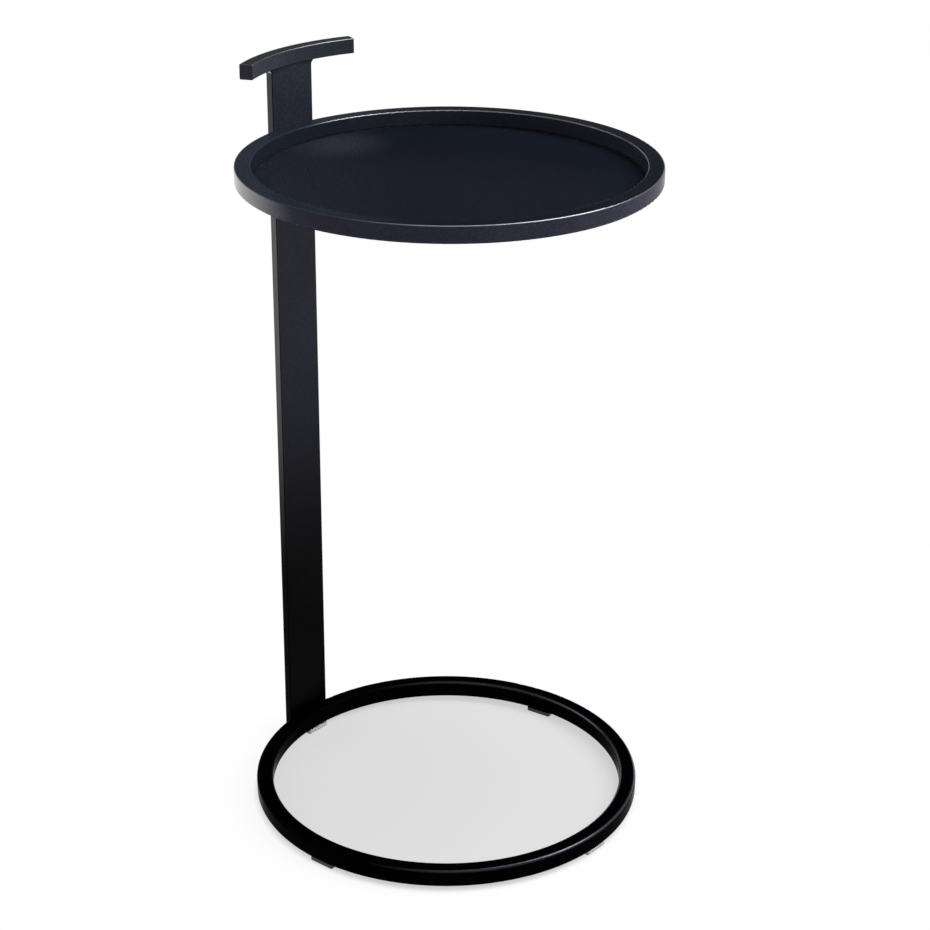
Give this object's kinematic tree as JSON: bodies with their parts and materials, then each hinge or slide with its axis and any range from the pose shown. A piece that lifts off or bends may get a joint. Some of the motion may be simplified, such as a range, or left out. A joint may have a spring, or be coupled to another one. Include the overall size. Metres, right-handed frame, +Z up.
{
  "type": "side table",
  "caption": "Side table: round rimmed tray and open ring base on one flat steel post with an arched carrying handle, on small glides.",
  "frame": {"origin": "on the floor, under the middle of the table's bounding box", "axes": "+Z up, +Y towards the post and handle, +X to the right of someone who faces the post from the tray's side"},
  "size_m": [0.38, 0.389, 0.7115],
  "materials": {
    "bar_steel": "satin black paint",
    "sheet_steel": "matte, finely textured black powder coat",
    "screw_steel": "black oxide",
    "glide_plastic": "milky, soft plastic"
  },
  "bodies": {
    "root": {"tray_rim": "bar_steel", "tray_floor": "sheet_steel", "base_ring": "bar_steel", "post": "bar_steel", "handle_bar": "bar_steel", "tray_screws": "screw_steel", "base_screws": "screw_steel", "glide_back": "glide_plastic", "glide_left": "glide_plastic", "glide_front": "glide_plastic", "glide_right": "glide_plastic"}
  },
  "joints": []
}
